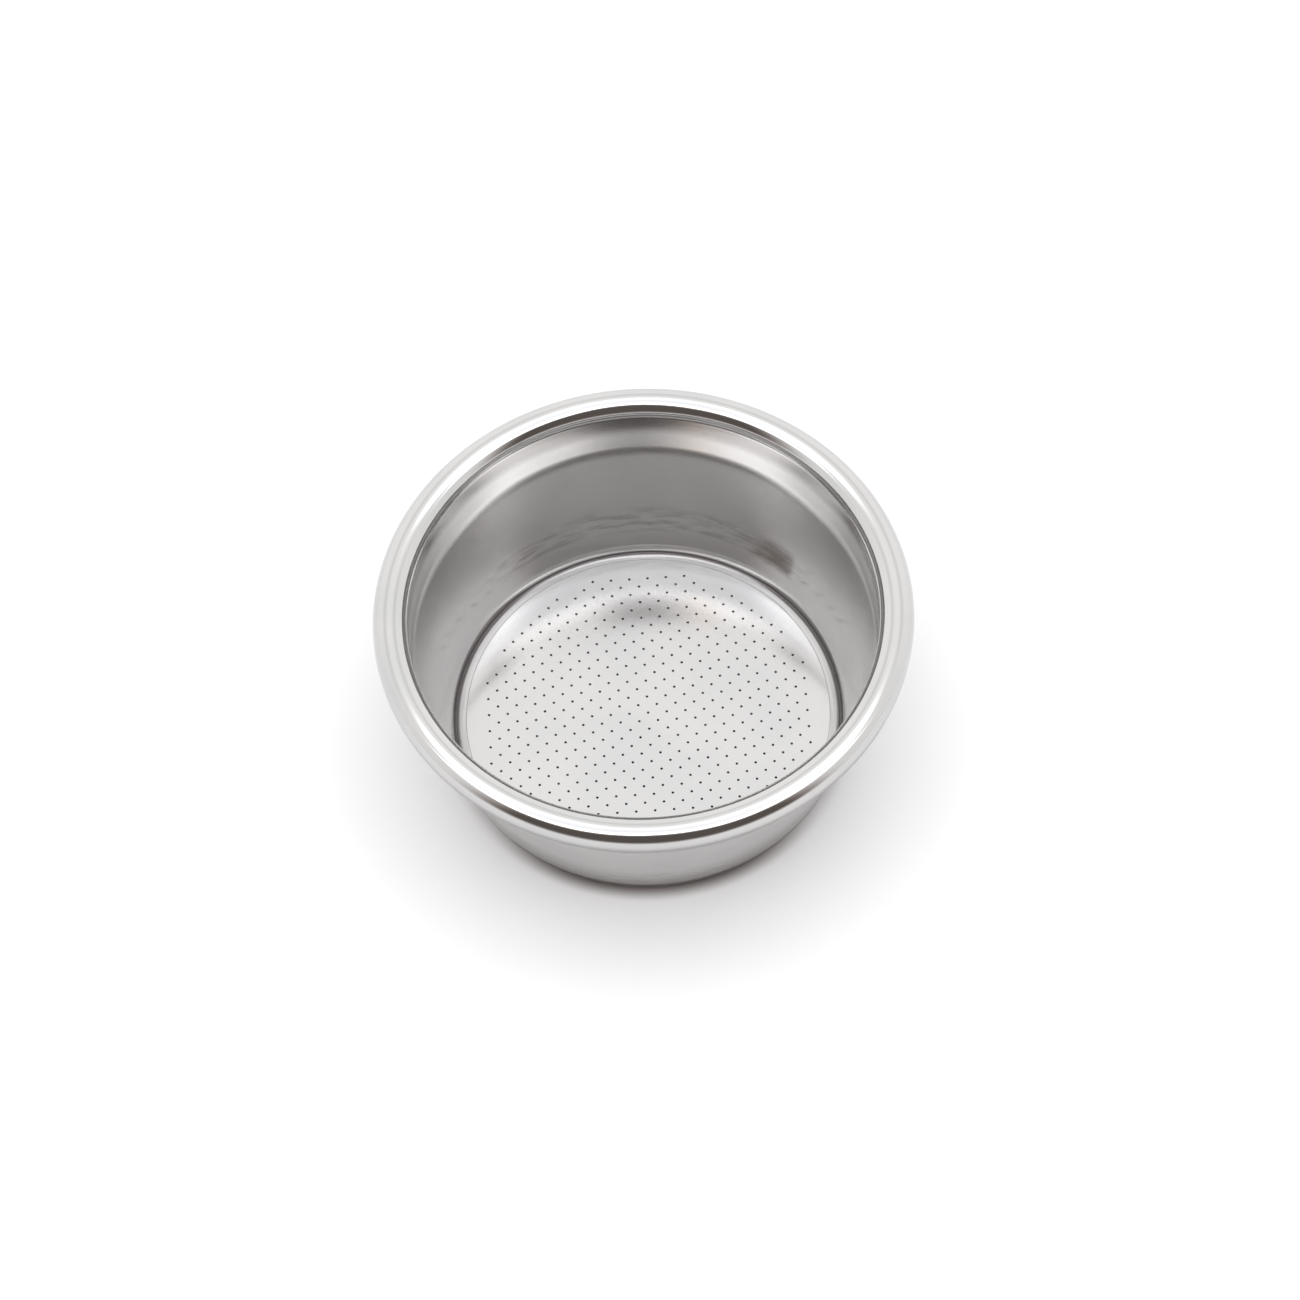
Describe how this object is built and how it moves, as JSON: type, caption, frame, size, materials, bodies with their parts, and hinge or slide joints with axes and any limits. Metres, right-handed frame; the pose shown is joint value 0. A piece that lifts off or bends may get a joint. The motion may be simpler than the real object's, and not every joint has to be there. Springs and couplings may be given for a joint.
{
  "type": "espresso filter basket",
  "caption": "Tapered round metal cup with a rolled rim and a flat floor full of fine punched holes, which holds ground coffee under a brew head.",
  "frame": {"origin": "centre of the foot ring's underside, on the basket's axis", "axes": "+Z along the basket's axis, from the perforated floor to the open mouth; +X and +Y along the rows of the square hole grid"},
  "size_m": [0.059, 0.059, 0.0239],
  "materials": {
    "steel": "soft polish, faint turning marks"
  },
  "bodies": {
    "root": {"filter_basket": "steel"}
  },
  "joints": []
}
